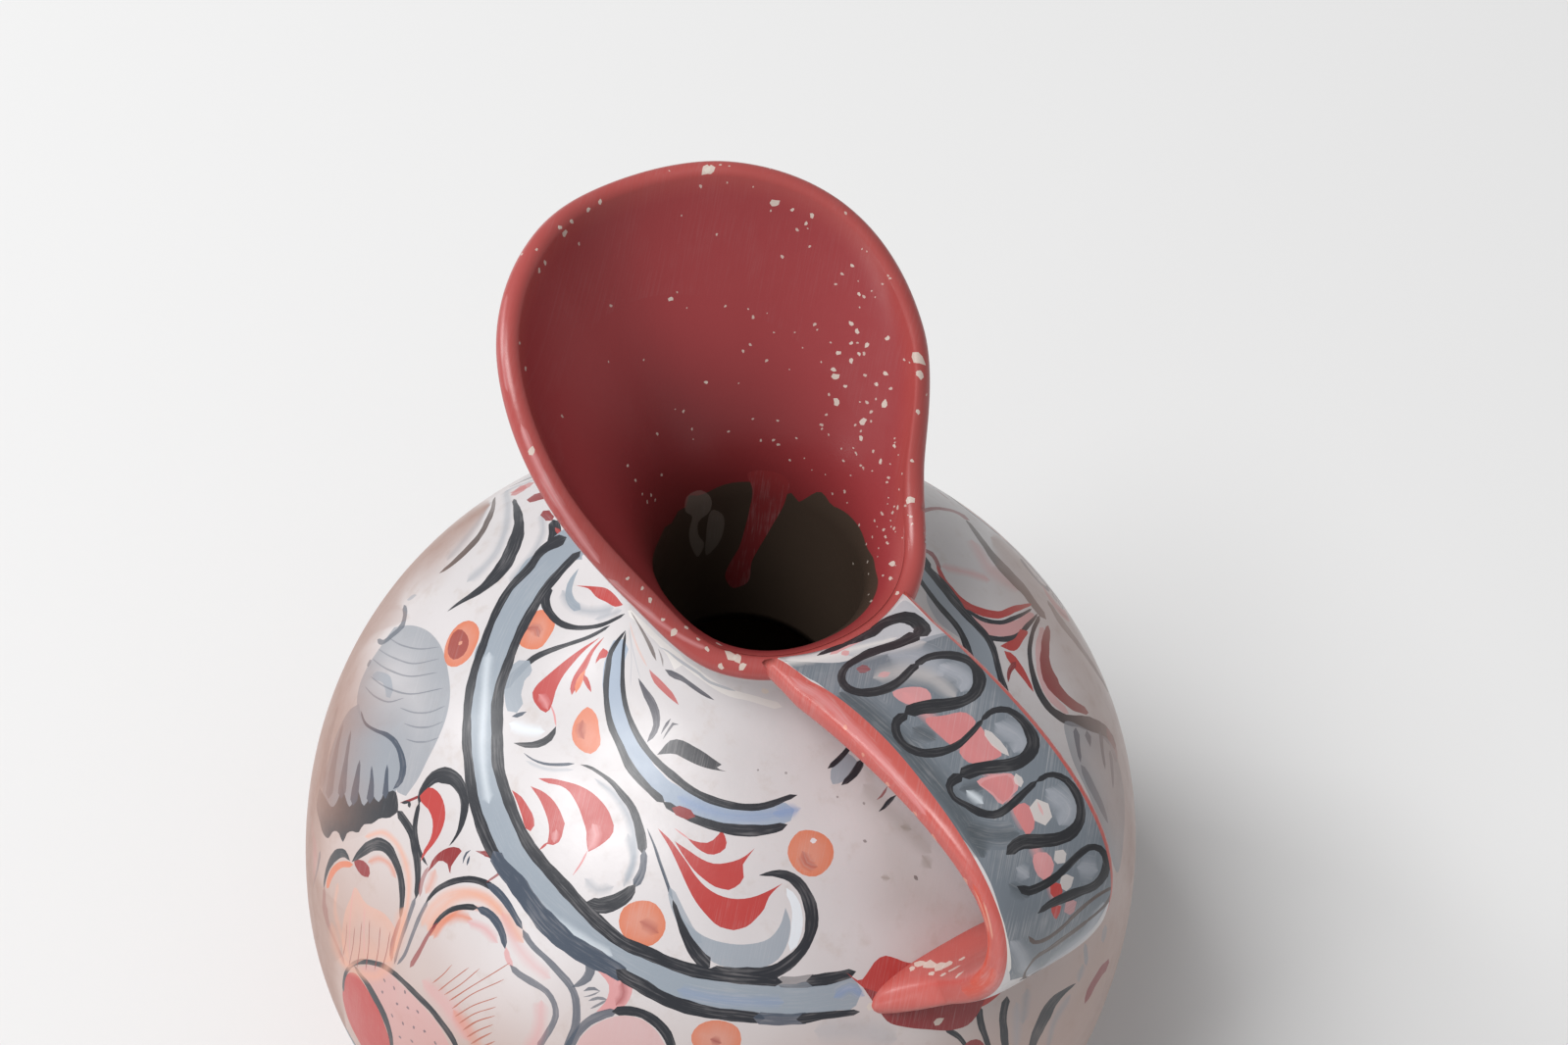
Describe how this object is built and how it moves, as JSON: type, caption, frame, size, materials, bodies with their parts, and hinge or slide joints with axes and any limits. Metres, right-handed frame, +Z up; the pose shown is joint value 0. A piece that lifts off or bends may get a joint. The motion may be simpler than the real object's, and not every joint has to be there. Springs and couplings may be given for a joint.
{
  "type": "pottery pitcher",
  "caption": "Round-bodied clay pitcher with a short neck, a wide flared scoop spout and a strap handle, painted with flowing slip ornament.",
  "frame": {"origin": "centre of the flat base", "axes": "+Z up from the base, +X towards the spout's tip, the handle is at -X and the part is symmetric about the XZ plane"},
  "size_m": [0.215, 0.21, 0.2552],
  "materials": {
    "painted_clay": "burnished painted slip, softly glossy"
  },
  "bodies": {
    "root": {"pitcher": "painted_clay"}
  },
  "joints": []
}
